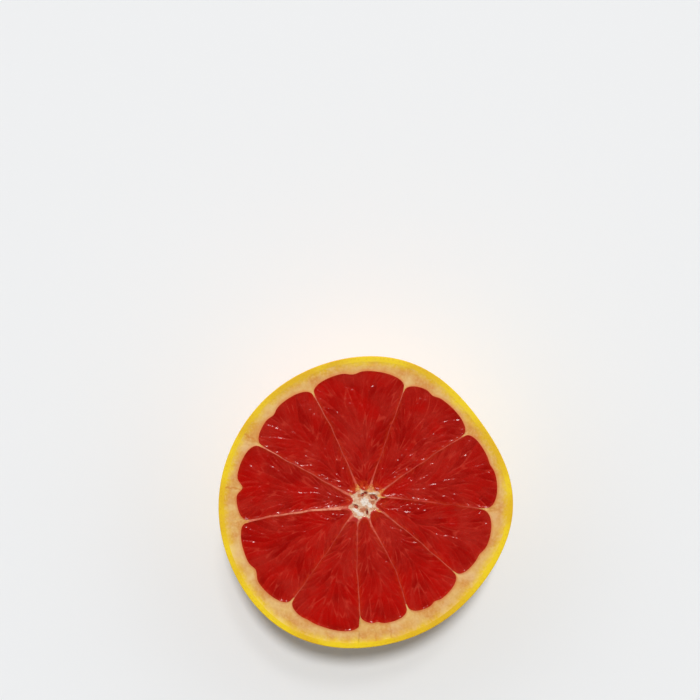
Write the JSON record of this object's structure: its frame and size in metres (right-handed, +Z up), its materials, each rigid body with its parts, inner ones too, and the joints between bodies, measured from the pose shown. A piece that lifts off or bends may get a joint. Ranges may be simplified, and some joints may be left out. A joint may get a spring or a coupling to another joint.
{
  "type": "halved grapefruit-type pomelo",
  "caption": "Thin-peeled, red-fleshed pomelo cut in half across its core, lying on a small flat spot with its segments and cut face up.",
  "frame": {"origin": "centre of the small flat spot that the half rests on, under the fruit's core", "axes": "+Z up through the core to the cut face, +Y towards the top of the picture, +X to its right"},
  "size_m": [0.1092, 0.1084, 0.048],
  "materials": {
    "rind": "waxy yellow to orange citrus skin with fine oil glands",
    "pith": "matt, spongy cream pith, membranes and core",
    "pulp": "wet, translucent ruby-red juice sacs"
  },
  "bodies": {
    "root": {"rind": "rind", "pith": "pith", "segment_01": "pulp", "segment_02": "pulp", "segment_03": "pulp", "segment_04": "pulp", "segment_05": "pulp", "segment_06": "pulp", "segment_07": "pulp", "segment_08": "pulp", "segment_09": "pulp", "segment_10": "pulp"}
  },
  "joints": []
}
